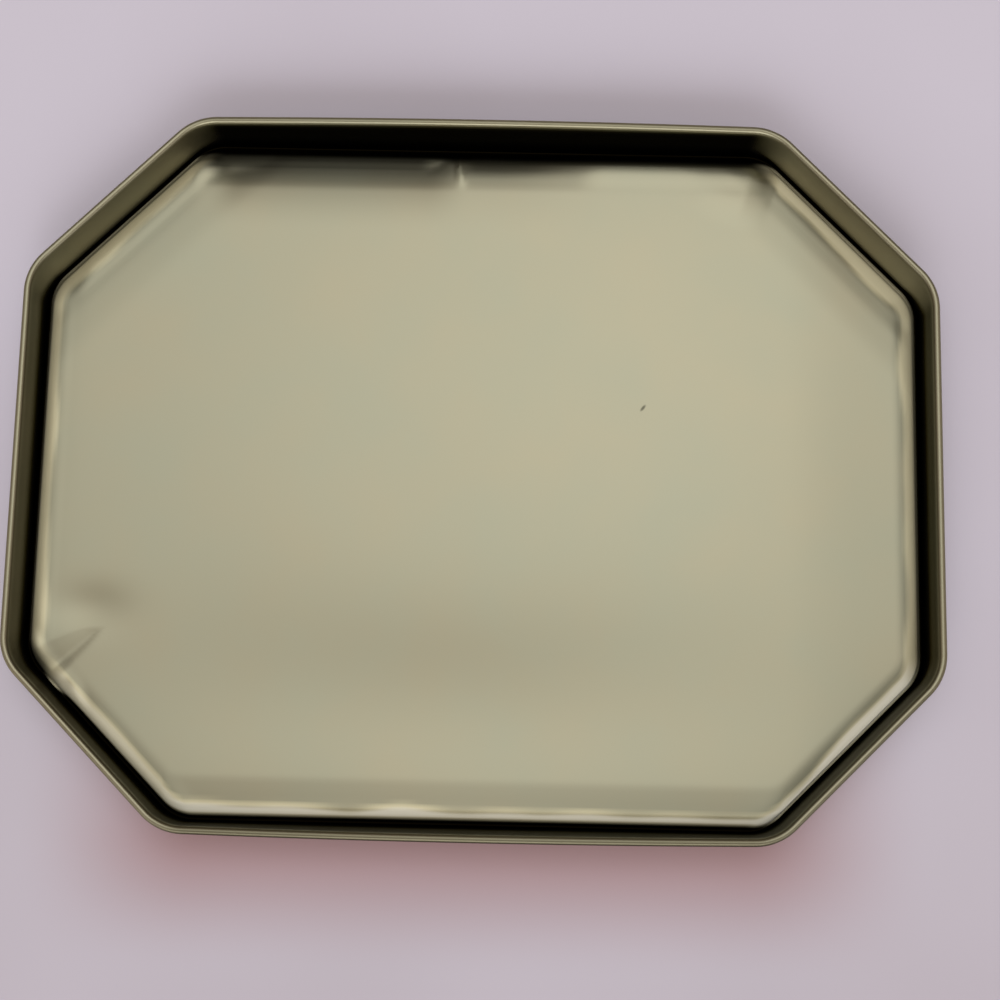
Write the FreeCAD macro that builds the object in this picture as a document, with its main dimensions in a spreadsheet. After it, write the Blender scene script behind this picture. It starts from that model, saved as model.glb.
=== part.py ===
import FreeCAD, Part
import Sketcher
import math
import os

# Octagonal tin lid, pressed from one sheet of tinplate and lying open side up.
#
# One sheet makes the whole lid. Its flat panel stands a little above the ring that the lid rests
# on, inside a rounded shoulder and a shallow bevel. From that ring the side wall rises with a
# slight outward lean, and its raw edge is curled outward into a hollow bead. The panel's edge is
# straight along every side, while the two long sides of the rim bow outward between their corners.
#
# Frame: millimetres, +Z up, origin under the middle of the lid at the level it rests on.
# X runs along the length and Y along the width. An inset is measured inward from the outline
# that the bead's outer side makes.

NODE = "tin_lid"

# Driving dimensions in millimetres and degrees: alias, value, meaning.
DIMENSIONS = [
    ("overall_length", 240.0, "over the bead, along X"),
    ("overall_width", 188.7, "over the bead, along Y, at the middle of the long sides"),
    ("side_bow", 0.75, "how far the middle of a long side of the rim stands out"),
    ("chamfer_leg", 42.5, "how far each cut corner reaches along X and along Y"),
    ("corner_radius", 14.5, "rounding of the eight corners, over the bead"),
    ("lid_height", 16.4, "from the resting ring to the top of the bead"),
    ("sheet_gauge", 0.3, "thickness of the tinplate"),
    ("bead_radius", 1.0, "outer radius of the curled edge"),
    ("curl_turn", 285.0, "how far round the raw edge is curled"),
    ("wall_lean", 0.3, "how far the foot of the wall stands inside its top"),
    ("foot_radius", 0.4, "inner radius of the bend at the foot of the wall"),
    ("ring_flat", 0.2, "flat of the ring that the lid rests on"),
    ("rise_radius", 0.4, "inner radius of the bend from the ring up to the panel"),
    ("rise_angle", 60.0, "steepness of the rise from the ring to the panel"),
    ("shoulder_radius", 2.0, "inner radius of the shoulder round the panel"),
    ("panel_raise", 2.1, "how far the panel stands above the resting ring"),
    ("bevel_angle", 6.0, "slope of the bevel between the shoulder and the flat panel"),
    ("bevel_run", 3.6, "width of that bevel"),
    ("bevel_radius", 8.0, "inner radius of the bend from the bevel to the flat panel"),
    ("panel_margin", 0.8, "flat of the panel that is formed together with its bevel"),
    ("bend_run", 0.2, "straight sheet before the first bend and after the last"),
]

START, END, CENTRE = 1, 2, 3  # how Sketcher names the points of an edge
ORIGIN = (-1, 1)  # the crossing of a sketch's axes
AXIS_X, AXIS_Y = -1, -2
QUARTER = math.pi / 2


class Size:
    """A number together with the spreadsheet expression that gives it."""

    def __init__(self, value, text=None):
        self.value = value
        self.text = text or repr(value)

    def combine(self, sign, other, value):
        return Size(value, f"({self.text} {sign} {other.text})")

    def __add__(self, other):
        return self.combine("+", other, self.value + other.value)

    def __sub__(self, other):
        return self.combine("-", other, self.value - other.value)

    def __mul__(self, other):
        return self.combine("*", other, self.value * other.value)

    def __truediv__(self, other):
        return self.combine("/", other, self.value / other.value)


NONE, TWO = Size(0.0), Size(2.0)
DIAGONAL = Size(math.sqrt(2.0))
HALF_TURN = Size(180.0)
SIZES = {alias: Size(value, f"Sizes.{alias}") for alias, value, _ in DIMENSIONS}


def make_sheet(doc):
    """The spreadsheet of driving dimensions."""
    sheet = doc.addObject("Spreadsheet::Sheet", "Sizes")
    for row, (alias, value, meaning) in enumerate(DIMENSIONS, start=1):
        sheet.set(f"A{row}", alias)
        sheet.set(f"B{row}", str(value))
        sheet.set(f"C{row}", meaning)
        sheet.setAlias(f"B{row}", alias)
    doc.recompute()


def new_sketch(body, name, role, height=NONE):
    """A sketch on one of the body's own origin planes, raised above it by a height."""
    plane = [feature for feature in body.Origin.OriginFeatures if feature.Role == role][0]
    sketch = body.newObject("Sketcher::SketchObject", name)
    sketch.AttachmentSupport = (plane, [""])
    sketch.MapMode = "FlatFace"
    sketch.setExpression("AttachmentOffset.Base.z", height.text)
    return sketch


def relate(sketch, *terms):
    """Adds a constraint that holds no size of its own."""
    return sketch.addConstraint(Sketcher.Constraint(*terms))


def measure(sketch, size, *terms):
    """Adds a constraint whose value is a size from the spreadsheet."""
    index = relate(sketch, *terms, size.value)
    sketch.setExpression(f"Constraints[{index}]", size.text)


def measure_angle(sketch, degrees, line):
    """Constrains the direction of a line, in degrees from the sketch's first axis."""
    index = relate(sketch, "Angle", line, math.radians(degrees.value))
    sketch.setExpression(f"Constraints[{index}]", degrees.text)


def point(x, y):
    return FreeCAD.Vector(x, y, 0)


def heading_vector(heading, length=1.0):
    return point(length * math.cos(heading), length * math.sin(heading))


def add_arc(sketch, centre, radius, first, last):
    """An arc that runs anticlockwise from one angle to another."""
    circle = Part.Circle(centre, FreeCAD.Vector(0, 0, 1), radius)
    return sketch.addGeometry(Part.ArcOfCircle(circle, first, last))


def add_line(sketch, first, last):
    return sketch.addGeometry(Part.LineSegment(first, last))


class Outline:
    """The plan of the lid at one inset: a rounded octagon, straight or bowed at its long sides."""

    def __init__(self, inset, bowed):
        bow = SIZES["side_bow"]
        leg = SIZES["chamfer_leg"]
        half_length = SIZES["overall_length"] / TWO
        half_width = SIZES["overall_width"] / TWO
        self.reach_x = half_length - inset
        self.reach_y = half_width - bow - inset
        self.reach_diagonal = (half_length + half_width - bow - leg) / DIAGONAL - inset
        self.radius = SIZES["corner_radius"] - inset
        half_chord = half_length - leg
        curve = (half_chord * half_chord + bow * bow) / (TWO * bow)
        self.bow_radius = curve - inset if bowed else None
        self.bow_depth = curve - half_width

    def corner_centres(self):
        """Centres of the two roundings in the first quadrant: by the end, then by the side."""
        r = self.radius.value
        total = (self.reach_diagonal.value - r) * math.sqrt(2)
        by_end = point(self.reach_x.value - r, total - (self.reach_x.value - r))
        if self.bow_radius is None:
            y = self.reach_y.value - r
        else:
            # The rounding touches the bowed side from within and the cut corner's line.
            depth = -self.bow_depth.value
            reach = self.bow_radius.value - r
            middle = (total + depth) / 2
            y = middle + math.sqrt(middle**2 - (depth**2 + total**2 - reach**2) / 2)
        return by_end, point(total - y, y)

    def add_to(self, sketch):
        """Draws the outline anticlockwise from the +X end and constrains it fully."""
        by_end, by_side = self.corner_centres()
        tilt = 0.0
        if self.bow_radius is not None:
            tilt = math.atan2(by_side.x, by_side.y + self.bow_depth.value)
        r = self.radius.value
        corners = []
        for quadrant in range(4):
            pair = [(by_end, 0.0, QUARTER / 2), (by_side, QUARTER / 2, QUARTER - tilt)]
            if quadrant % 2:
                pair = [(c, QUARTER - last, QUARTER - first) for c, first, last in reversed(pair)]
            for centre, first, last in pair:
                x_sign = 1 if quadrant in (0, 3) else -1
                y_sign = 1 if quadrant in (0, 1) else -1
                spot = point(x_sign * centre.x, y_sign * centre.y)
                turn = quadrant * QUARTER
                corners.append(add_arc(sketch, spot, r, turn + first, turn + last))
        sides = [self.add_side(sketch, corners, number) for number in range(8)]
        for number, corner in enumerate(corners):
            relate(sketch, "Tangent", sides[number], END, corner, START)
            relate(sketch, "Tangent", corner, END, sides[(number + 1) % 8], START)
        for corner in corners[1:]:
            relate(sketch, "Equal", corners[0], corner)
        measure(sketch, self.radius, "Radius", corners[0])
        self.constrain_sides(sketch, sides)
        return sides

    def add_side(self, sketch, corners, number):
        """The side before corner number: 0 is the +X end, 2 the +Y side, odd ones cut corners."""
        before, after = sketch.Geometry[corners[number - 1]], sketch.Geometry[corners[number]]
        if number in (2, 6) and self.bow_radius is not None:
            facing = 1 if number == 2 else -1
            centre = point(0, -facing * self.bow_depth.value)
            first = math.atan2(*reversed((before.EndPoint - centre)[:2]))
            last = math.atan2(*reversed((after.StartPoint - centre)[:2]))
            return add_arc(sketch, centre, self.bow_radius.value, first, last)
        return add_line(sketch, before.EndPoint, after.StartPoint)

    def constrain_sides(self, sketch, sides):
        """Places each side at its distance from the middle, and gives it its direction."""
        for number in (0, 4):
            relate(sketch, "Vertical", sides[number])
            measure(sketch, self.reach_x, "Distance", *ORIGIN, sides[number])
        for number in (1, 3, 5, 7):
            relate(sketch, "Angle", sides[number], (number + 2) * QUARTER / 2)
            measure(sketch, self.reach_diagonal, "Distance", *ORIGIN, sides[number])
        for number in (2, 6):
            if self.bow_radius is None:
                relate(sketch, "Horizontal", sides[number])
                measure(sketch, self.reach_y, "Distance", *ORIGIN, sides[number])
            else:
                relate(sketch, "PointOnObject", sides[number], CENTRE, AXIS_Y)
                measure(sketch, self.bow_radius, "Radius", sides[number])
                measure(sketch, self.bow_depth, "Distance", *ORIGIN, sides[number], CENTRE)


class Strip:
    """The cut edge of a sheet in a sketch: straight runs joined by bends of one thickness.

    Its near face lies to the right of the heading, and its far face to the left.
    """

    def __init__(self, sketch, near_start, heading):
        self.sketch = sketch
        self.heading = heading
        self.near_point = point(near_start[0].value, near_start[1].value)
        self.faces = []  # for each piece: its near edge, its far edge, and their leading ends
        self.near_start = near_start

    def gauge(self):
        return SIZES["sheet_gauge"]

    def far_point(self):
        return self.near_point + heading_vector(self.heading + QUARTER, self.gauge().value)

    def join(self, near, far, first, last):
        """Makes a new piece run smoothly on from the one before it."""
        if self.faces:
            near_before, far_before, _, end_before = self.faces[-1]
            relate(self.sketch, "Tangent", near_before, end_before, near, first)
            relate(self.sketch, "Tangent", far_before, end_before, far, first)
        self.faces.append((near, far, first, last))

    def run(self, length=None):
        """A straight piece: with no length given, other sizes of the sketch settle it."""
        step = heading_vector(self.heading, length.value if length else 0.5)
        near = add_line(self.sketch, self.near_point, self.near_point + step)
        far = add_line(self.sketch, self.far_point(), self.far_point() + step)
        self.near_point = self.near_point + step
        self.join(near, far, START, END)
        if length:
            measure(self.sketch, length, "Distance", near)
        return near

    def bend(self, radius, turn):
        """A bend about its inner radius: a positive turn is anticlockwise, in radians."""
        left = turn > 0
        near_radius = radius + self.gauge() if left else radius
        far_radius = radius if left else radius + self.gauge()
        side = QUARTER if left else -QUARTER
        centre = self.near_point + heading_vector(self.heading + side, near_radius.value)
        start = self.heading - side
        span = (start, start + turn) if left else (start + turn, start)
        near = add_arc(self.sketch, centre, near_radius.value, *span)
        far = add_arc(self.sketch, centre, far_radius.value, *span)
        self.heading += turn
        self.near_point = centre + heading_vector(start + turn, near_radius.value)
        self.join(near, far, *((START, END) if left else (END, START)))
        relate(self.sketch, "Coincident", near, CENTRE, far, CENTRE)
        measure(self.sketch, near_radius, "Radius", near)
        measure(self.sketch, far_radius, "Radius", far)

    def finish(self):
        """Closes both ends squarely and fixes where the strip begins."""
        for near, far, first, last in (self.faces[0], self.faces[-1]):
            end = first if near == self.faces[0][0] else last
            spots = [self.sketch.getPoint(edge, end) for edge in (near, far)]
            cap = add_line(self.sketch, *spots)
            relate(self.sketch, "Coincident", cap, START, near, end)
            relate(self.sketch, "Coincident", cap, END, far, end)
            relate(self.sketch, "Perpendicular", cap, near)
            relate(self.sketch, "Parallel", near, far)
        first_near = self.faces[0][0]
        measure(self.sketch, self.near_start[0], "DistanceX", *ORIGIN, first_near, START)
        measure(self.sketch, self.near_start[1], "DistanceY", *ORIGIN, first_near, START)


def foot_inset():
    """Inset of the wall's inner face at its foot."""
    return SIZES["bead_radius"] * TWO + SIZES["wall_lean"]


def foot_height():
    """Where the wall begins, above the bend at its foot."""
    return SIZES["bend_run"] + SIZES["foot_radius"] + SIZES["sheet_gauge"]


def wall_height():
    """Where the wall ends, just below the middle of the bead."""
    return SIZES["lid_height"] - SIZES["bead_radius"] - SIZES["bend_run"]


def draw_ring_section(sketch):
    """The sheet's cut edge from the foot of the wall, over the shoulder and on to the panel."""
    rise = math.radians(SIZES["rise_angle"].value)
    bevel_angle = math.radians(SIZES["bevel_angle"].value)
    start = (SIZES["overall_length"] / TWO - foot_inset(), foot_height())
    strip = Strip(sketch, start, -QUARTER)
    wall = strip.run(SIZES["bend_run"])
    strip.bend(SIZES["foot_radius"], -QUARTER)
    ring = strip.run(SIZES["ring_flat"])
    strip.bend(SIZES["rise_radius"], -rise)
    slope = strip.run()
    strip.bend(SIZES["shoulder_radius"], rise - bevel_angle)
    bevel = strip.run(SIZES["bevel_run"])
    strip.bend(SIZES["bevel_radius"], bevel_angle)
    panel = strip.run(SIZES["panel_margin"])
    strip.finish()
    relate(sketch, "Vertical", wall)
    relate(sketch, "Horizontal", ring)
    relate(sketch, "Horizontal", panel)
    measure_angle(sketch, HALF_TURN - SIZES["rise_angle"], slope)
    measure_angle(sketch, HALF_TURN - SIZES["bevel_angle"], bevel)
    measure(sketch, SIZES["panel_raise"], "DistanceY", ring, START, panel, END)
    reach = relate(sketch, "DistanceX", *ORIGIN, panel, END, strip.near_point.x)
    sketch.setDriving(reach, False)
    sketch.renameConstraint(reach, "PanelReach")


def draw_bead_section(sketch):
    """The sheet's cut edge where it curls outward and down from the top of the wall."""
    outer_face = SIZES["bead_radius"] * TWO - SIZES["sheet_gauge"]
    start = (SIZES["overall_length"] / TWO - outer_face, wall_height())
    strip = Strip(sketch, start, QUARTER)
    wall = strip.run(SIZES["bend_run"])
    strip.bend(SIZES["bead_radius"] - SIZES["sheet_gauge"], -math.radians(SIZES["curl_turn"].value))
    raw_edge = strip.run(SIZES["bend_run"])
    strip.finish()
    relate(sketch, "Vertical", wall)
    measure_angle(sketch, HALF_TURN * Size(2.5) - SIZES["curl_turn"], raw_edge)


def sweep(doc, body, name, section, path):
    """A section carried round a closed outline."""
    pipe = body.newObject("PartDesign::AdditivePipe", name)
    pipe.Profile = section
    pipe.Spine = (path, [f"Edge{number + 1}" for number in range(path.GeometryCount)])
    pipe.Mode = "Standard"
    doc.recompute()
    return pipe


def add_ring(doc, body):
    """The resting ring, the rise to the panel, its shoulder and its bevel."""
    section = new_sketch(body, "RingSection", "XZ_Plane")
    draw_ring_section(section)
    path = new_sketch(body, "RingPath", "XY_Plane", foot_height())
    Outline(foot_inset(), bowed=False).add_to(path)
    doc.recompute()
    sweep(doc, body, "Ring", section, path)
    reach = section.getDatum("PanelReach").Value
    return Size(reach, "RingSection.Constraints.PanelReach / 1 mm")


def add_panel(doc, body, reach):
    """The flat panel inside its bevel."""
    underside = SIZES["panel_raise"]
    sketch = new_sketch(body, "PanelOutline", "XY_Plane", underside)
    Outline(SIZES["overall_length"] / TWO - reach, bowed=False).add_to(sketch)
    pad = body.newObject("PartDesign::Pad", "Panel")
    pad.Profile = sketch
    pad.setExpression("Length", SIZES["sheet_gauge"].text)
    doc.recompute()


def add_wall(doc, body):
    """The wall, from its straight foot to its bowed top."""
    foot = new_sketch(body, "WallFoot", "XY_Plane", foot_height())
    Outline(foot_inset() - SIZES["sheet_gauge"], bowed=False).add_to(foot)
    Outline(foot_inset(), bowed=False).add_to(foot)
    top = new_sketch(body, "WallTop", "XY_Plane", wall_height())
    Outline(SIZES["bead_radius"] * TWO - SIZES["sheet_gauge"], bowed=True).add_to(top)
    Outline(SIZES["bead_radius"] * TWO, bowed=True).add_to(top)
    doc.recompute()
    wall = body.newObject("PartDesign::AdditiveLoft", "Wall")
    wall.Profile = foot
    wall.Sections = [(top, [""])]
    wall.Ruled = True
    doc.recompute()


def add_bead(doc, body):
    """The curled edge round the top of the wall."""
    section = new_sketch(body, "BeadSection", "XZ_Plane")
    draw_bead_section(section)
    path = new_sketch(body, "BeadPath", "XY_Plane", wall_height())
    Outline(SIZES["bead_radius"] * TWO - SIZES["sheet_gauge"], bowed=True).add_to(path)
    doc.recompute()
    sweep(doc, body, "Bead", section, path)


def check(doc, body):
    """Stops the build if any object failed or the lid isn't one sound solid."""
    for item in doc.Objects:
        bad = [state for state in item.State if state in ("Invalid", "Error")]
        if bad:
            raise RuntimeError(f"{item.Name} is {bad}")
    for item in doc.findObjects("Sketcher::SketchObject"):
        if not item.FullyConstrained:
            raise RuntimeError(f"{item.Name} is not fully constrained")
    shape = body.Shape
    if shape.isNull() or not shape.isValid():
        raise RuntimeError("the lid's shape is null or not valid")
    if len(shape.Solids) != 1:
        raise RuntimeError(f"the lid has {len(shape.Solids)} solids")


def main():
    doc = FreeCAD.newDocument("OctagonalTinLid")
    make_sheet(doc)
    body = doc.addObject("PartDesign::Body", "Lid")
    body.Label = NODE
    reach = add_ring(doc, body)
    add_panel(doc, body, reach)
    add_wall(doc, body)
    add_bead(doc, body)
    body.Placement = FreeCAD.Placement()
    doc.recompute()
    check(doc, body)
    os.makedirs("parts", exist_ok=True)
    body.Shape.exportStep(f"parts/{NODE}.step")


main()
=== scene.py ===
import math
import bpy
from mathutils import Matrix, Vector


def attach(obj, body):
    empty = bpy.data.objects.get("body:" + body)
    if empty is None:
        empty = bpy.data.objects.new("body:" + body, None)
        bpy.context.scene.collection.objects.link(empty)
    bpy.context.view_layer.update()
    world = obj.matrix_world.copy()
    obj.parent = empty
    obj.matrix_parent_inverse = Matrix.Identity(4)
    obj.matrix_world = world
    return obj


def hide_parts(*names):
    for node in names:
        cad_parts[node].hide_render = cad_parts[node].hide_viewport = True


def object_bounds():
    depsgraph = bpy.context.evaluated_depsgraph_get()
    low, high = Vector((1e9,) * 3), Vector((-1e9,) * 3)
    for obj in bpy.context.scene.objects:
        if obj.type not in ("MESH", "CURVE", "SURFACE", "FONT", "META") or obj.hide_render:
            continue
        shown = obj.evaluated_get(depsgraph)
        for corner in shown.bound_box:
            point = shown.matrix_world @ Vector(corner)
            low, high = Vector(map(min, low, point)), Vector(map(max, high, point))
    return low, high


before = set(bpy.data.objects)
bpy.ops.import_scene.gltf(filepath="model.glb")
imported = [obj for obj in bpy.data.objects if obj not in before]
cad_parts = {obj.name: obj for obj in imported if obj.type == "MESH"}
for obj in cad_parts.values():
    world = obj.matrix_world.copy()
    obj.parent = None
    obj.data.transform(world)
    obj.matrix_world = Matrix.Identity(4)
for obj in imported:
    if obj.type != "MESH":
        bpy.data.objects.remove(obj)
from types import SimpleNamespace
import bpy
import numpy as np
from mathutils import Vector, noise

# An octagonal tin lid lying open side up on a pale sheet, seen from almost straight above.
# The lid's own sizes are in millimetres and are turned into metres when its mesh is made.

CAD_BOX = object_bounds()
MM = 0.001

# Sizes of the pressed sheet, as in the CAD model, but for a softer bevel: its run and its radius.
HALF_LENGTH = CAD_BOX[1][0] / MM
HALF_WIDTH = CAD_BOX[1][1] / MM
LID_HEIGHT = CAD_BOX[1][2] / MM
SIDE_BOW = 0.75
CHAMFER_LEG = 42.5
CORNER_RADIUS = 14.5
SHEET_GAUGE = 0.3
BEAD_RADIUS = 1.0
CURL_TURN = 285.0
WALL_LEAN = 0.3
FOOT_RADIUS = 0.4
RING_FLAT = 0.2
RISE_RADIUS = 0.4
RISE_ANGLE = 60.0
SHOULDER_RADIUS = 2.0
PANEL_RAISE = 2.1
BEVEL_ANGLE = 6.0
BEVEL_RUN = 3.4
BEVEL_RADIUS = 18.0
PANEL_MARGIN = 0.8
BEND_RUN = 0.2

# The lid's colours: its lacquer's two tints; clean, and grimy with painted shade (both multiply
# the lacquer); and the pale strip's two tints, a painted highlight partly standing for rubbed tin,
# from a little rubbed down to the dull bare tin.
LACQUER_WARM = (0.259, 0.239, 0.166)
LACQUER_COOL = (0.256, 0.250, 0.180)
CLEAN = (1.0, 1.0, 1.0)
GRIME_BLACK = (0.008, 0.006, 0.003)
RUBBED_LITTLE = (0.93, 0.84, 0.54)
RUBBED_BARE = (0.99, 0.96, 0.80)

# The middle and the turn, in degrees, of the short dark stroke on the panel, and its half sizes.
MARK_CENTRE = (43.8, 19.6)
MARK_TURN = 52.0
MARK_HALF_SIZES = (1.5, 0.55, 3.0)

# The lid's eight sides differ in grime and wear, and in painted shade and painted highlight. Each
# list below has one value per side, in the order of these ways that the sides face out, in degrees,
# and the -X end's value at both ends.
SIDE_WAYS = [-180, -135, -90, -45, 0, 45, 90, 135, 180]

# How dark the grime and painted shade are, from 0 to 1: on the bead's outer half, on its inner
# half, on the wall. The near-black wall at +Y and the dark bead at -Y are mostly painted shade.
BEAD_GRIME = [0.40, 0.42, 0.92, 0.50, 0.46, 0.40, 0.62, 0.33, 0.40]
CREST_GRIME = [0.34, 0.32, 0.14, 0.22, 0.30, 0.32, 0.50, 0.26, 0.34]
WALL_GRIME = [0.46, 0.60, 0.66, 0.60, 0.62, 0.15, 0.93, 0.14, 0.46]

# How high up the wall its black foot fades out, and how far in the groove's black reaches; both
# blacks are grime and painted shade.
WALL_FOOT = [11.0, 10.0, 8.0, 8.5, 11.0, 4.2, 8.0, 4.2, 11.0]
GROOVE_REACH = [3.5, 4.08, 4.02, 3.3, 3.5, 3.15, 4.5, 3.1, 3.5]

# How strong the pale strip on the panel's shoulder is, a painted highlight partly standing for
# rubbed dull metal, how far in that reaches, and how far outward the shoulder itself stands from
# its plain place.
SHOULDER_WEAR = [0.50, 0.76, 1.00, 1.00, 0.48, 0.60, 0.00, 0.40, 0.50]
SHOULDER_REACH = [8.4, 8.0, 5.9, 7.6, 8.4, 9.0, 6.0, 9.0, 8.4]
SHOULDER_OUT = [0.8, 0.0, 0.8, 1.25, 0.8, 0.8, 0.8, 0.8, 0.8]

# The long sides' shoulder is broader: how much further in it lies at its foot, and how much
# more by its top and by the end of its bevel.
LONG_SIDE_FOOT = 1.9
LONG_SIDE_TOP = 0.7
LONG_SIDE_BEVEL = 2.0

# The height above the lid's ring at which dents and waves come to their full depth, the share
# of its height above the ring that a point may lose, and how far in the relief starts.
RELIEF_RISE = 1.75
LARGEST_LOSS = 0.92
RELIEF_START = 3.0

# The sheet's low waves: their height, their lengths along X and Y, and which slice of the
# noise they are.
WAVE_HEIGHT = 0.12
WAVE_LENGTHS = (48.0, 42.0)
WAVE_SLICE = 3.7

# The broad shallow dip before the -Y edge, and how deep the +Y edge is pushed down at most.
DIP_CENTRE = (-8.0, -60.0)
DIP_HALF_SIZES = (80.0, 24.0)
DIP_DEPTH = 1.6
DEEPEST_PUSH = 1.5

# The insets from the bead's outer side at which the bead gives way to the wall, and the wall's
# foot to the groove.
BEAD_END = 1.5
WALL_END = 2.31

# The room's light. The bright ceiling's two borders are given as slopes from straight up, and
# the level beyond them as a share of the ceiling's.
CEILING_LEFT = (-1.08, 0.20)
CEILING_RIGHT = (0.16, 0.60)
DIM_SIDES = 0.25
ROOM_LEVEL = 3.15
WARM_LIGHT = (1.0, 0.70, 0.42)
WHITE_LIGHT = (1.0, 1.0, 1.0)

# The pale sheet: half its width and how far it lies below the lid, both in metres, its two
# tints, and the painted reddish shadow on it.
FLOOR_HALF = 1.5
FLOOR_GAP = 0.0001
PAPER_DIM = (0.478, 0.440, 0.505)
PAPER_BRIGHT = (0.572, 0.540, 0.632)
CAST_RED = (0.37, 0.245, 0.262)

# How finely the mesh is divided, and the angle from which an edge looks sharp.
POINT_SPACING = 1.0
CORNER_STEPS = 12
BEND_STEP = 9.0
SHARP_ANGLE = 40.0


def smooth(edge0, edge1, x):
    """0 at edge0 and beyond, 1 at edge1 and beyond, and a smooth change between.

    Either edge may be the higher one.
    """
    t = np.clip((x - edge0) / (edge1 - edge0), 0.0, 1.0)
    return t * t * (3.0 - 2.0 * t)


def bell(x, centre, half_width):
    """A smooth bump, 1 at its centre."""
    return np.exp(-(((x - centre) / half_width) ** 2))


# ---------------------------------------------------------------- section of the sheet


class Strip:
    """Both faces of the bent sheet in section: x is outward, z is up, and each is a list."""

    def __init__(self, x, z, heading):
        self.spot = np.array([x, z])
        self.heading = math.radians(heading)
        self.right, self.left = [], []
        self.mark()

    def mark(self):
        side = np.array([math.sin(self.heading), -math.cos(self.heading)])
        self.right.append(self.spot)
        self.left.append(self.spot - side * SHEET_GAUGE)

    def run(self, length, steps=1):
        step = np.array([math.cos(self.heading), math.sin(self.heading)]) * length / steps
        for _ in range(steps):
            self.spot = self.spot + step
            self.mark()

    def bend(self, radius, turn):
        """A bend about its inner radius: a positive turn, in degrees, is anticlockwise."""
        steps = max(2, math.ceil(abs(turn) / BEND_STEP))
        face_radius = radius + SHEET_GAUGE if turn > 0 else radius
        side = math.copysign(math.pi / 2, turn)
        centre = self.spot + face_radius * np.array(
            [math.cos(self.heading + side), math.sin(self.heading + side)]
        )
        for _ in range(steps):
            self.heading += math.radians(turn) / steps
            back = self.heading - side
            self.spot = centre + face_radius * np.array([math.cos(back), math.sin(back)])
            self.mark()


def section():
    """The sheet in section from its raw edge to the panel: shown face, hidden face, bow share."""
    wall_top = LID_HEIGHT - BEAD_RADIUS
    curl = Strip(-2 * BEAD_RADIUS + SHEET_GAUGE, wall_top, 90.0)
    curl.bend(BEAD_RADIUS - SHEET_GAUGE, -CURL_TURN)
    curl.run(BEND_RUN)
    foot_height = BEND_RUN + FOOT_RADIUS + SHEET_GAUGE
    base = Strip(-2 * BEAD_RADIUS - WALL_LEAN, foot_height, -90.0)
    base.run(BEND_RUN)
    base.bend(FOOT_RADIUS, -90.0)
    base.run(RING_FLAT)
    base.bend(RISE_RADIUS, -RISE_ANGLE)
    rise = math.radians(RISE_ANGLE)
    bevel = math.radians(BEVEL_ANGLE)
    climb = RISE_RADIUS * (1 - math.cos(rise))
    climb += (SHOULDER_RADIUS + SHEET_GAUGE) * (math.cos(bevel) - math.cos(rise))
    climb += BEVEL_RUN * math.sin(bevel)
    climb += (BEVEL_RADIUS + SHEET_GAUGE) * (1 - math.cos(bevel))
    base.run((PANEL_RAISE - climb) / math.sin(rise), 2)
    base.bend(SHOULDER_RADIUS, RISE_ANGLE - BEVEL_ANGLE)
    base.run(BEVEL_RUN, 4)
    base.bend(BEVEL_RADIUS, BEVEL_ANGLE)
    base.run(PANEL_MARGIN)
    shown = curl.left[::-1] + base.right
    hidden = curl.right[::-1] + base.left
    bow = [1.0] * len(curl.left) + [0.0] * len(base.right)
    return divide_wall(np.array(shown), np.array(hidden), np.array(bow), len(curl.left))


def divide_wall(shown, hidden, bow, split, steps=12):
    """Adds points up the wall, between the curl's last point and the foot's first one."""
    share = np.linspace(0.0, 1.0, steps + 1)[1:-1, None]
    between = [a[split - 1] * (1 - share) + a[split] * share for a in (shown, hidden)]
    bow_between = 1.0 - share[:, 0]
    return (
        np.insert(shown, split, between[0], axis=0),
        np.insert(hidden, split, between[1], axis=0),
        np.insert(bow, split, bow_between),
    )


# ---------------------------------------------------------------- plan of the lid


def outline(inset, bow_share, deeper=0.0):
    """The plan at an inset from the outer side of the bead, anticlockwise from the +X end.

    The long sides may be drawn in deeper than the others.
    """
    a = HALF_LENGTH - inset
    b = HALF_WIDTH - SIDE_BOW - inset - deeper
    cut = (HALF_LENGTH + HALF_WIDTH - SIDE_BOW - CHAMFER_LEG) - inset * math.sqrt(2)
    r = max(CORNER_RADIUS - inset, 0.05)
    total = cut - r * math.sqrt(2)
    by_end = np.array([a - r, total - (a - r)])
    by_side = np.array([total - (b - r), b - r])
    angles = np.radians(np.linspace(0.0, 45.0, CORNER_STEPS + 1))
    end_arc = by_end + r * np.stack([np.cos(angles), np.sin(angles)], axis=1)
    angles = angles + math.pi / 4
    side_arc = by_side + r * np.stack([np.cos(angles), np.sin(angles)], axis=1)
    quarter = [end_arc, side_arc]
    half = quarter + [arc[::-1] * [-1, 1] for arc in reversed(quarter)]
    arcs = half + [arc * [-1, -1] for arc in half]
    counts = side_counts()
    points = []
    for number, arc in enumerate(arcs):
        points.append(arc)
        after = arcs[(number + 1) % 8]
        share = np.linspace(0.0, 1.0, counts[number % 4] + 1)[1:-1, None]
        points.append(arc[-1] * (1 - share) + after[0] * share)
    plan = np.concatenate(points)
    half_chord = HALF_LENGTH - CHAMFER_LEG
    bow = SIDE_BOW * bow_share * np.clip(1.0 - (plan[:, 0] / half_chord) ** 2, 0.0, None)
    plan[:, 1] += np.sign(plan[:, 1]) * bow * (np.abs(plan[:, 1]) > 0.8 * b)
    return plan


def side_counts():
    """How many steps the sides take, in the order that the corners' arcs lead to them."""
    long_side = 2 * (HALF_LENGTH - CHAMFER_LEG)
    short_side = 2 * (HALF_WIDTH - SIDE_BOW - CHAMFER_LEG)
    cut_side = CHAMFER_LEG * math.sqrt(2)
    lengths = [cut_side, long_side, cut_side, short_side]
    return [round(length / POINT_SPACING) for length in lengths]


# ---------------------------------------------------------------- dents and waves


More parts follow.
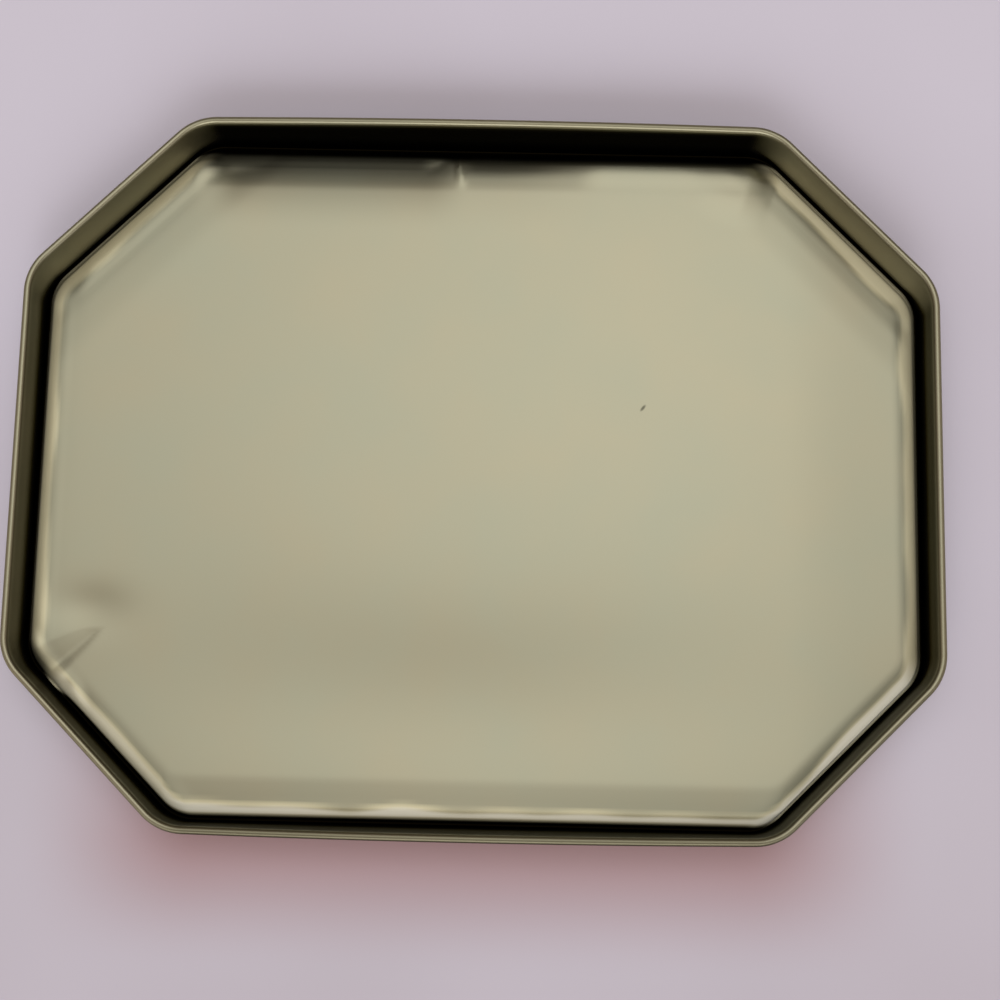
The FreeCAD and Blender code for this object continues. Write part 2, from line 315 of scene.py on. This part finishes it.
def dent(x, y, centre, half_length, half_width, turn=0.0):
    """A soft round or long hollow of unit depth, turned anticlockwise by an angle in degrees."""
    angle = math.radians(turn)
    dx, dy = x - centre[0], y - centre[1]
    along = (dx * math.cos(angle) + dy * math.sin(angle)) / half_length
    across = (dy * math.cos(angle) - dx * math.sin(angle)) / half_width
    return np.exp(-(along**2) - across**2)


def beside_line(x, y, start, end):
    """Where points lie by a line: their share of the way along it, and how far to its left."""
    line = np.array(end) - np.array(start)
    length = np.hypot(*line)
    line = line / length
    dx, dy = x - start[0], y - start[1]
    along = (dx * line[0] + dy * line[1]) / length
    left = dy * line[0] - dx * line[1]
    return along, left


def fold(x, y, start, end, left_width, right_width):
    """A straight fold of unit height that tapers to both ends, its sides falling away evenly."""
    along, left = beside_line(x, y, start, end)
    width = np.where(left > 0, left_width, right_width)
    taper = smooth(-0.1, 0.35, along) * (1.0 - smooth(0.65, 1.1, along))
    return taper * np.clip(1.0 - np.abs(left) / width, 0.0, None)


def leaf(x, y, start, end, left_width, right_width):
    """A hollow of unit depth like a leaf: two flat sides that narrow to a point at its end."""
    along, left = beside_line(x, y, start, end)
    width = np.where(left > 0, left_width, right_width)
    share = np.sqrt(np.clip(1.0 - along, 1e-4, 1.0))
    return smooth(-0.1, 0.3, along) * np.clip(share - np.abs(left) / width, 0.0, None)


def from_cut(x, y):
    """How far points are from the cut corner at +X, +Y; a sign turned round gives another one."""
    return (HALF_LENGTH + HALF_WIDTH - SIDE_BOW - CHAMFER_LEG - x - y) / math.sqrt(2)


def wave_field(x, y):
    """Low waves in the sheet, between about -1 and 1."""
    across, along = WAVE_LENGTHS
    values = [noise.noise(Vector((px / across, py / along, WAVE_SLICE))) for px, py in zip(x, y)]
    return np.array(values)


def pressed_top_edge(x, y):
    """The +Y edge, pushed down along two lengths and standing crisp along a third."""
    from_edge = HALF_WIDTH - SIDE_BOW - y
    # A broad push over nearly the whole edge, weaker toward +X.
    spread = smooth(-80.0, -68.0, x) * (1.0 - 0.58 * smooth(-17.0, -5.0, x))
    spread *= 1.0 - 0.95 * smooth(0.0, 40.0, x)
    pressed = 0.0048 * spread * np.clip(26.0 - from_edge, 0.0, None) ** 2
    # A short steep one from the fold on toward +X.
    short = 0.018 * np.clip(10.2 - 1.0 * smooth(2.0, 22.0, x) - from_edge, 0.0, None) ** 2
    pressed += short * smooth(-6.4, -3.4, x) * (1.0 - smooth(16.0, 34.0, x))
    # Beyond that the edge stands a little proud.
    crisp = 0.44 * smooth(14.0, 7.0, from_edge) * smooth(24.0, 32.0, x)
    return crisp * (1.0 - smooth(74.0, 78.0, x)) - np.clip(pressed, 0.0, DEEPEST_PUSH)


def top_corners(x, y):
    """The fold between the +Y edge's pushed-down lengths, its crease at +X, and both cuts there."""
    height = 0.60 * fold(x, y, (-7.6, 91.0), (-6.4, 80.5), 1.6, 1.3)
    height += 0.50 * fold(x, y, (74.5, 91.0), (69.0, 72.0), 7.5, 14.0)
    height -= 1.0 * dent(x, y, (76.0, 88.5), 3.4, 2.8, -30.0)
    # The panel falls away toward both cuts, beside a bevel that stands a trifle higher.
    from_corner = from_cut(np.abs(x), y)
    height += 0.06 * smooth(10.6, 5.6, from_corner) - 0.42 * smooth(22.0, 8.0, from_corner)
    height -= np.where(x > 0.0, 0.20, 0.10) * smooth(13.5, 8.5, from_corner)
    return height


def lower_left_dent(x, y):
    """A knock at the -X, -Y cut: a leaf-shaped facet, a soft hollow beside it and a small pit."""
    height = -0.62 * dent(x, y, (-101.5, -37.0), 9.5, 6.0)
    height -= 0.85 * leaf(x, y, (-114.5, -56.5), (-98.8, -42.6), 8.0, 4.0)
    height -= 0.3 * dent(x, y, (-106.8, -57.6), 1.6, 1.2, -45.0)
    # The bevel along the cut stands higher, most of all next to the knock.
    from_corner = from_cut(-x, -y)
    height += 0.30 * smooth(9.6, 5.6, from_corner) * (1.0 - smooth(-104.0, -100.0, x))
    height += 0.10 * smooth(10.6, 5.6, from_corner)
    return height


def edge_lift(x, y):
    """The bevel stands higher at both ends and the -X, +Y cut, and lower along the -Y edge.

    The panel falls away a little toward its +X end.
    """
    from_end = HALF_LENGTH - np.abs(x)
    from_front = y + HALF_WIDTH - SIDE_BOW
    lift = np.where(x > 0.0, 0.18, 0.36) * smooth(10.0, 5.0, from_end)
    lift *= 1.0 - smooth(44.0, 54.0, np.abs(y))
    lift += 0.32 * smooth(10.6, 5.6, from_cut(-x, y)) * (1.0 - smooth(106.0, 112.0, -x))
    lift -= 0.08 * smooth(13.0, 7.0, from_front) * (1.0 - smooth(70.0, 82.0, np.abs(x)))
    return lift - 0.60 * smooth(38.0, 6.0, from_end) * (x > 0.0)


def relief(x, y):
    """How far the panel stands above its true form, in millimetres, at points of its plan."""
    height = WAVE_HEIGHT * wave_field(x, y)
    height += pressed_top_edge(x, y)
    height += top_corners(x, y)
    height += lower_left_dent(x, y)
    height += edge_lift(x, y)
    height -= DIP_DEPTH * dent(x, y, DIP_CENTRE, *DIP_HALF_SIZES)
    return height


def add_relief(plan, inset, z, ring_height):
    """Raises a ring of points by the relief, in step with its own height above the lid's ring."""
    above = z - ring_height
    if inset < RELIEF_START or above <= 0.0:
        return np.full(len(plan), z)
    share = min(above / RELIEF_RISE, 1.0)
    return z + np.maximum(share * relief(plan[:, 0], plan[:, 1]), -LARGEST_LOSS * above)


def facing():
    """The way that the lid's side faces at each point round the outline, in degrees."""
    plan = outline(0.0, 0.0)
    tangent = np.roll(plan, -1, axis=0) - np.roll(plan, 1, axis=0)
    return np.degrees(np.arctan2(-tangent[:, 0], tangent[:, 1]))


def panel_plan(inset, bow_share, way):
    """A ring's plan, with the shoulder broader at the long sides and moved outward by the side."""
    deeper = LONG_SIDE_FOOT * smooth(3.0, 4.6, inset) + LONG_SIDE_TOP * smooth(4.6, 5.8, inset)
    deeper += LONG_SIDE_BEVEL * smooth(5.8, 9.2, inset)
    plan = outline(inset, bow_share, deeper)
    moved = outline(inset - smooth(3.0, 5.0, inset), bow_share, deeper)
    share = np.interp(way, SIDE_WAYS, SHOULDER_OUT)[:, None]
    return plan * (1.0 - share) + moved * share


# ---------------------------------------------------------------- grime, wear, painted shade and highlight


def side_ages():
    """The grime, wear, painted shade and painted highlight at each point round the outline, from
    the way its side faces and its knocks.
    """
    plan = outline(6.0, 0.0)
    way = facing()
    age = SimpleNamespace()
    age.bead_grime = np.interp(way, SIDE_WAYS, BEAD_GRIME)
    age.crest_grime = np.interp(way, SIDE_WAYS, CREST_GRIME)
    age.wall_grime = np.interp(way, SIDE_WAYS, WALL_GRIME)
    age.wall_foot = np.interp(way, SIDE_WAYS, WALL_FOOT)
    age.groove_reach = np.interp(way, SIDE_WAYS, GROOVE_REACH)
    age.shoulder_wear = np.interp(way, SIDE_WAYS, SHOULDER_WEAR)
    age.wear_reach = np.interp(way, SIDE_WAYS, SHOULDER_REACH)
    # The panel beside the +Y edge's two pushed-down lengths gets painted shade, the one toward +X
    # much less.
    age.pushed_down = 1.0 - smooth(-18.0, -9.0, plan[:, 0])
    short_length = smooth(-6.0, -2.0, plan[:, 0]) * (1.0 - smooth(10.0, 22.0, plan[:, 0]))
    age.pushed_down += 0.3 * short_length
    age.pushed_down *= bell(way, 90.0, 25.0)
    # The pale strip's inner border wanders.
    wander = [noise.noise(Vector((x / 16.0, y / 16.0, 0.5))) for x, y in plan]
    age.wear_reach += 1.2 * np.array(wander)
    # The knock at the -X, -Y cut breaks the pale strip, and narrows the groove's painted black
    # there.
    knocked = dent(plan[:, 0], plan[:, 1], (-111.0, -49.0), 4.5, 4.5, -60.0)
    age.shoulder_wear *= 1.0 - 0.9 * knocked
    spread_out = dent(plan[:, 0], plan[:, 1], (-109.0, -56.0), 4.5, 4.5)
    age.groove_reach -= 1.1 * spread_out
    return age


def ring_grime(inset, z, age):
    """Grime and painted shade, 0 to 1, round one ring: on the bead, black in the groove, less up
    the wall, and on the panel only beside the pushed-down +Y edge.
    """
    if z > LID_HEIGHT - BEAD_RADIUS or inset < BEAD_END:
        # The bead's darker outer half is painted shade.
        outer_half = 1.0 - smooth(1.0, 1.7, inset)
        return age.crest_grime + (age.bead_grime - age.crest_grime) * outer_half
    if inset > WALL_END:
        # The groove's black is grime and painted shade; beside the pushed-down +Y edge the panel
        # gets painted shade.
        groove = 1.0 - smooth(0.0, 1.0, inset - age.groove_reach + 0.8)
        return np.maximum(groove, 0.82 * age.pushed_down * (1.0 - smooth(5.7, 7.3, inset)))
    # The wall's black foot and its darkness per side are grime and painted shade.
    foot = 1.0 - smooth(0.0, 1.0, (z - 2.0) / (age.wall_foot - 2.0))
    under_bead = smooth(LID_HEIGHT - 2.6, LID_HEIGHT - BEAD_RADIUS, z)
    return age.wall_grime * (1.0 - 0.4 * under_bead) * (1.0 - foot) + foot


def ring_wear(inset, z, age):
    """Pale dull strip round one ring: on the panel's shoulder a painted highlight partly standing
    for rubbed metal, and a little rubbing on the bead.

    The bead is rubbed most on its outermost part, and where the shoulder's strip is weakest.
    """
    if z > LID_HEIGHT - BEAD_RADIUS:
        outermost = 1.0 - smooth(0.4, 1.0, inset)
        return 0.10 + 0.15 * outermost * (1.0 - age.shoulder_wear) ** 0.5
    # The shoulder's strip is a painted highlight, partly rubbed metal.
    rise = smooth(0.0, 1.0, (inset - age.groove_reach) / 0.8 + 1.0)
    fade = 1.0 - smooth(0.0, 1.0, (inset - age.wear_reach) / 1.6 + 1.0)
    return age.shoulder_wear * rise * fade


# ---------------------------------------------------------------- mesh


def face_rings(points, bow, way):
    """Rings of one face from the raw edge to the panel's margin, then on to the middle.

    Each is its plan, its inset, which stays the same from the margin inward, and its height.
    """
    rings = []
    for (x, z), share in zip(points, bow):
        plan = panel_plan(-x, share, way)
        rings.append((plan, -x, z))
    plan, inset, z = rings[-1]
    steps = round((HALF_WIDTH - inset) / POINT_SPACING)
    for k in range(1, steps):
        rings.append((plan * (1 - k / steps), inset + 1, z))
    return rings


def face_points(rings, age, hidden):
    """One face's points, ring by ring and then its middle, and the grime with painted shade and the
    wear with painted highlight at each.
    """
    points, grime, wear = [], [], []
    ring_height = 0.0 if hidden else SHEET_GAUGE
    aged = 0.0 if hidden else 1.0
    for plan, inset, z in rings:
        points.append(np.column_stack([plan, add_relief(plan, inset, z, ring_height)]))
        grime.append(ring_grime(inset, z, age) * aged)
        wear.append(ring_wear(inset, z, age) * aged)
    middle = np.zeros(1)
    middle_height = rings[-1][2] + relief(middle, middle)
    points.append(np.column_stack([middle, middle, middle_height]))
    grime.append(middle)
    wear.append(middle)
    return np.concatenate(points), np.concatenate(grime), np.concatenate(wear)


def face_polygons(first, ring_count, count, hidden):
    """The quads between one face's rings, and the fan of triangles round its middle."""
    polygons = []
    for ring in range(ring_count - 1):
        low = first + ring * count
        high = low + count
        for k in range(count):
            after = (k + 1) % count
            polygons.append((low + k, low + after, high + after, high + k))
    last = first + (ring_count - 1) * count
    middle = last + count
    polygons.extend((last + k, last + (k + 1) % count, middle) for k in range(count))
    if hidden:
        polygons = [polygon[::-1] for polygon in polygons]
    return polygons


def raw_edge(first, other, count):
    """The quads between the first rings of the two faces."""
    polygons = []
    for k in range(count):
        after = (k + 1) % count
        polygons.append((first + after, first + k, other + k, other + after))
    return polygons


def shell_mesh(name):
    """One closed sheet: the shown face, the hidden face, and the raw edge between them."""
    shown_line, hidden_line, bow = section()
    way = facing()
    age = side_ages()
    count = len(way)
    shown_rings = face_rings(shown_line, bow, way)
    hidden_rings = face_rings(hidden_line, bow, way)
    shown = face_points(shown_rings, age, hidden=False)
    hidden = face_points(hidden_rings, age, hidden=True)
    points, grime, wear = [np.concatenate(pair) for pair in zip(shown, hidden)]
    second = len(shown[0])
    polygons = face_polygons(0, len(shown_rings), count, hidden=False)
    polygons += face_polygons(second, len(hidden_rings), count, hidden=True)
    polygons += raw_edge(0, second, count)
    mesh = bpy.data.meshes.new(name)
    mesh.from_pydata((points * MM).tolist(), [], polygons)
    mesh.polygons.foreach_set("use_smooth", [True] * len(polygons))
    mesh.set_sharp_from_angle(angle=math.radians(SHARP_ANGLE))
    # The grime with painted shade and the wear with painted highlight are kept on the mesh.
    for title, values in (("grime", grime), ("wear", wear)):
        attribute = mesh.attributes.new(title, "FLOAT", "POINT")
        attribute.data.foreach_set("value", values.astype(np.float32))
    mesh.update()
    return mesh


# ---------------------------------------------------------------- nodes


def new_material(name):
    material = bpy.data.materials.new(name)
    material.use_nodes = True
    nodes = material.node_tree.nodes
    return material, nodes, material.node_tree.links, nodes["Principled BSDF"]


def linear_range(nodes, links, value, at_0, at_1):
    """A node whose result goes evenly from one level to another as a value goes from 0 to 1."""
    node = nodes.new("ShaderNodeMapRange")
    node.inputs["To Min"].default_value = at_0
    node.inputs["To Max"].default_value = at_1
    links.new(value, node.inputs["Value"])
    return node.outputs["Result"]


def smooth_range(nodes, links, value, low, high, at_low, at_high):
    """A node whose result goes smoothly from one level to another as a value rises."""
    node = nodes.new("ShaderNodeMapRange")
    node.interpolation_type = "SMOOTHSTEP"
    node.inputs["From Min"].default_value = low
    node.inputs["From Max"].default_value = high
    node.inputs["To Min"].default_value = at_low
    node.inputs["To Max"].default_value = at_high
    links.new(value, node.inputs["Value"])
    return node.outputs["Result"]


def arithmetic(nodes, links, operation, *values):
    """A Math node of one or two values, each a socket or a number."""
    node = nodes.new("ShaderNodeMath")
    node.operation = operation
    for number, value in enumerate(values):
        if isinstance(value, (int, float)):
            node.inputs[number].default_value = value
        else:
            links.new(value, node.inputs[number])
    return node.outputs[0]


def colour_ramp(nodes, links, value, low, low_colour, high, high_colour):
    """A node whose colour goes from one to another as a value rises from low to high."""
    ramp = nodes.new("ShaderNodeValToRGB")
    first, last = ramp.color_ramp.elements
    first.position = low
    first.color = (*low_colour, 1)
    last.position = high
    last.color = (*high_colour, 1)
    links.new(value, ramp.inputs["Fac"])
    return ramp.outputs["Color"]


def colour_mix(nodes, links, factor, under, over, blend_type="MIX"):
    """A node that lays one colour over another; the factor is a socket or a number."""
    mix = nodes.new("ShaderNodeMix")
    mix.data_type = "RGBA"
    mix.blend_type = blend_type
    if isinstance(factor, float):
        mix.inputs["Factor"].default_value = factor
    else:
        links.new(factor, mix.inputs["Factor"])
    links.new(under, mix.inputs["A"])
    if isinstance(over, tuple):
        mix.inputs["B"].default_value = (*over, 1)
    else:
        links.new(over, mix.inputs["B"])
    return mix.outputs["Result"]


def mesh_value(nodes, name):
    """The value that the mesh holds under a name."""
    node = nodes.new("ShaderNodeAttribute")
    node.attribute_name = name
    return node.outputs["Fac"]


def noise_texture(nodes, links, place, scale, detail):
    """A soft random pattern over the places, from 0 to 1."""
    node = nodes.new("ShaderNodeTexNoise")
    node.inputs["Scale"].default_value = scale
    node.inputs["Detail"].default_value = detail
    links.new(place, node.inputs["Vector"])
    return node.outputs["Fac"]


# ---------------------------------------------------------------- the lid's lacquered tin


def tiny_mark(nodes, links, place):
    """How dark the short dark stroke on the panel is."""
    local = nodes.new("ShaderNodeMapping")
    local.vector_type = "TEXTURE"
    across, along = MARK_CENTRE
    local.inputs["Location"].default_value = (across * MM, along * MM, PANEL_RAISE * MM)
    local.inputs["Rotation"].default_value = (0.0, 0.0, math.radians(MARK_TURN))
    local.inputs["Scale"].default_value = [size * MM for size in MARK_HALF_SIZES]
    links.new(place, local.inputs["Vector"])
    ball = nodes.new("ShaderNodeTexGradient")
    ball.gradient_type = "SPHERICAL"
    links.new(local.outputs["Vector"], ball.inputs["Vector"])
    return smooth_range(nodes, links, ball.outputs["Fac"], 0.0, 0.7, 0.0, 0.65)


def rolled_grain(nodes, links, place):
    """The tinplate's faint grain: long fine streaks along X."""
    stretch = nodes.new("ShaderNodeMapping")
    stretch.inputs["Scale"].default_value = (900.0, 5000.0, 900.0)
    links.new(place, stretch.inputs["Vector"])
    bump = nodes.new("ShaderNodeBump")
    bump.inputs["Strength"].default_value = 0.05
    bump.inputs["Distance"].default_value = 0.00005
    grain = noise_texture(nodes, links, stretch.outputs["Vector"], 1.0, 2.0)
    links.new(grain, bump.inputs["Height"])
    return bump.outputs["Normal"]


def lacquered_tin():
    """Pale gold lacquer over rolled tinplate: satin metal, grime with painted shade, and pale dull
    strips that are painted highlights, partly rubbed metal.
    """
    material, nodes, links, shader = new_material("lacquered_tinplate")
    place = nodes.new("ShaderNodeTexCoord").outputs["Object"]
    blotch = noise_texture(nodes, links, place, 28.0, 4.0)
    lacquer = colour_ramp(nodes, links, blotch, 0.3, LACQUER_WARM, 0.7, LACQUER_COOL)
    mark = tiny_mark(nodes, links, place)
    # Grime and painted shade, and the small dark mark, darken the lacquer and its reflection.
    dirtiness = arithmetic(nodes, links, "MAXIMUM", mesh_value(nodes, "grime"), mark)
    dirt = colour_ramp(nodes, links, dirtiness, 0.0, CLEAN, 1.0, GRIME_BLACK)
    dirty = colour_mix(nodes, links, 1.0, lacquer, dirt, "MULTIPLY")
    links.new(dirt, shader.inputs["Specular Tint"])
    # The pale dull strips are painted highlights, partly rubbed metal.
    wear = mesh_value(nodes, "wear")
    rubbed = colour_ramp(nodes, links, wear, 0.5, RUBBED_LITTLE, 1.0, RUBBED_BARE)
    links.new(colour_mix(nodes, links, wear, dirty, rubbed), shader.inputs["Base Color"])
    links.new(linear_range(nodes, links, wear, 1.0, 0.0), shader.inputs["Metallic"])
    links.new(linear_range(nodes, links, blotch, 0.33, 0.39), shader.inputs["Roughness"])
    links.new(rolled_grain(nodes, links, place), shader.inputs["Normal"])
    return material


# ---------------------------------------------------------------- the pale sheet


def front_cast(nodes, links, x, y):
    """How strong the painted reddish shadow on the sheet is: only before the lid, and fading off
    from it.
    """
    front = HALF_WIDTH * MM
    near = smooth_range(nodes, links, y, -front - 0.035, -front, 0.0, 1.0)
    side = arithmetic(nodes, links, "ABSOLUTE", x)
    width = smooth_range(nodes, links, side, 0.07, 0.12, 1.0, 0.0)
    under = smooth_range(nodes, links, y, -0.7 * front, -0.3 * front, 1.0, 0.0)
    width = arithmetic(nodes, links, "MULTIPLY", width, under)
    return arithmetic(nodes, links, "MULTIPLY", near, width)


def pale_sheet():
    """The pale lilac paper that the lid lies on, painted lighter toward +Y, with a painted reddish
    shadow just in front of the lid.
    """
    material, nodes, links, shader = new_material("pale_sheet")
    shader.inputs["Roughness"].default_value = 0.9
    shader.inputs["Specular IOR Level"].default_value = 0.2
    place = nodes.new("ShaderNodeTexCoord").outputs["Object"]
    split = nodes.new("ShaderNodeSeparateXYZ")
    links.new(place, split.inputs[0])
    x, y, _ = split.outputs
    cloud = noise_texture(nodes, links, place, 6.0, 2.0)
    # Painted light: the paper is lighter toward +Y and dimmer toward -Y; the cloud is its own
    # uneven tone.
    back = smooth_range(nodes, links, y, -0.15, 0.15, -0.05, 0.40)
    lightness = arithmetic(nodes, links, "ADD", cloud, back)
    paper = colour_ramp(nodes, links, lightness, 0.3, PAPER_DIM, 0.9, PAPER_BRIGHT)
    # A painted reddish shadow in front of the lid.
    cast = front_cast(nodes, links, x, y)
    links.new(colour_mix(nodes, links, cast, paper, CAST_RED), shader.inputs["Base Color"])
    return material


# ---------------------------------------------------------------- scene


def build_lid():
    mesh = shell_mesh("lid_sheet")
    lid = bpy.data.objects.new("lid_sheet", mesh)
    bpy.context.collection.objects.link(lid)
    mesh.materials.append(lacquered_tin())
    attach(lid, "root")
    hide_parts("tin_lid")


def build_floor():
    mesh = bpy.data.meshes.new("floor")
    half = FLOOR_HALF
    corners = [(-half, -half, 0), (half, -half, 0), (half, half, 0), (-half, half, 0)]
    mesh.from_pydata(corners, [], [(0, 1, 2, 3)])
    floor = bpy.data.objects.new("floor", mesh)
    floor.location.z = -FLOOR_GAP
    bpy.context.collection.objects.link(floor)
    mesh.materials.append(pale_sheet())


def build_camera():
    """Almost straight above, a little in front of the middle and tipped forward."""
    data = bpy.data.cameras.new("camera")
    data.lens = 54.0
    data.sensor_width = 36.0
    camera = bpy.data.objects.new("camera", data)
    camera.location = (0.00901, -0.06313, 0.39665)
    camera.rotation_euler = (math.radians(8.241), math.radians(0.250), math.radians(1.242))
    bpy.context.collection.objects.link(camera)
    bpy.context.scene.camera = camera


def ceiling_light(nodes, links, across):
    """The bright ceiling between its two borders, a little dimmer to the left."""
    left = smooth_range(nodes, links, across, *CEILING_LEFT, DIM_SIDES, 1.0)
    right = smooth_range(nodes, links, across, *CEILING_RIGHT, 1.0, DIM_SIDES)
    ceiling = arithmetic(nodes, links, "MINIMUM", left, right)
    opening = smooth_range(nodes, links, across, 0.02, 0.12, 0.87, 1.0)
    return arithmetic(nodes, links, "MULTIPLY", ceiling, opening)


def front_light(nodes, links, along):
    """Someone leans over the lid from its near side, and the room is bright again behind them."""
    leaning = smooth_range(nodes, links, along, -0.52, 0.34, 0.24, 1.0)
    behind = smooth_range(nodes, links, along, -1.1, -0.6, 2.1, 0.0)
    return arithmetic(nodes, links, "MAXIMUM", leaning, behind)


def build_world():
    """A soft bright ceiling, darker at its far end, at its sides and down to the horizon."""
    world = bpy.data.worlds.new("room")
    bpy.context.scene.world = world
    world.use_nodes = True
    nodes, links = world.node_tree.nodes, world.node_tree.links
    place = nodes.new("ShaderNodeTexCoord")
    split = nodes.new("ShaderNodeSeparateXYZ")
    links.new(place.outputs["Generated"], split.inputs[0])
    x, y, z = split.outputs
    height = arithmetic(nodes, links, "MAXIMUM", z, 0.02)
    across = arithmetic(nodes, links, "DIVIDE", x, height)
    along = arithmetic(nodes, links, "DIVIDE", y, height)
    far_end = smooth_range(nodes, links, along, 0.41, 0.85, 1.0, 0.12)
    horizon = smooth_range(nodes, links, z, 0.10, 0.55, 0.08, 1.0)
    level = ceiling_light(nodes, links, across)
    for share in (front_light(nodes, links, along), far_end, horizon):
        level = arithmetic(nodes, links, "MULTIPLY", level, share)
    warmth = colour_ramp(nodes, links, level, 0.0, WARM_LIGHT, 0.45, WHITE_LIGHT)
    links.new(warmth, nodes["Background"].inputs["Color"])
    level = arithmetic(nodes, links, "MULTIPLY", level, ROOM_LEVEL)
    links.new(level, nodes["Background"].inputs["Strength"])


build_camera()
build_world()
build_floor()
build_lid()
bpy.context.scene.view_settings.view_transform = "Standard"
